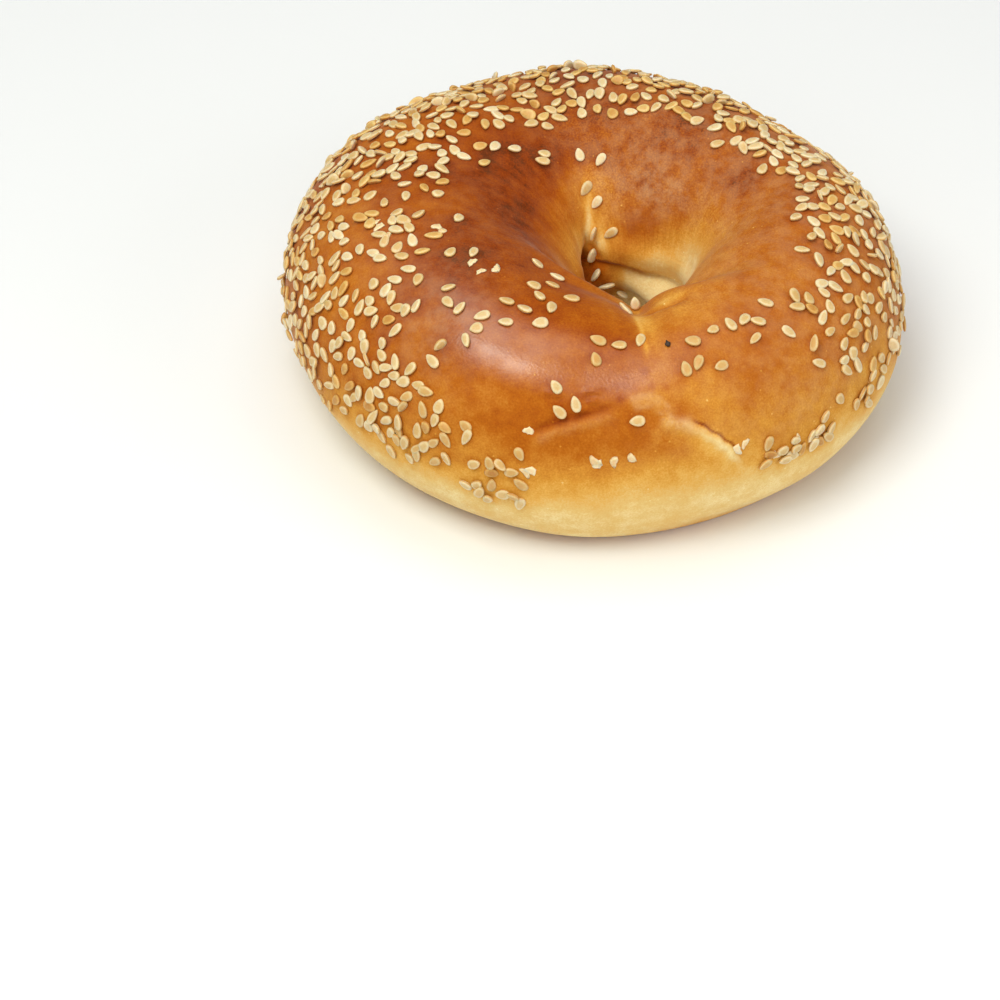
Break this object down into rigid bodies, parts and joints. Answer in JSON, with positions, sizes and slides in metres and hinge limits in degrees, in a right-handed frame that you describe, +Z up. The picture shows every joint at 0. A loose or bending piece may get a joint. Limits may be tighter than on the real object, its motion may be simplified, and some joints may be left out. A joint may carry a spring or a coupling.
{
  "type": "sesame bagel",
  "caption": "Baked ring of bread with an off-centre hole, a folded throat, a seam on one side and sesame seeds over its crust; rests on its flat base.",
  "frame": {"origin": "middle of the bounding box on the flat base", "axes": "+Z up through the hole, +X along the long side of the slightly oval ring, -Y towards the seam"},
  "size_m": [0.1192, 0.1134, 0.0441],
  "materials": {
    "crust": "baked crust, semi-gloss, browned on top and pale at the base",
    "sesame": "hulled sesame seeds, lightly toasted"
  },
  "bodies": {
    "root": {"bagel": "crust"}
  },
  "joints": []
}
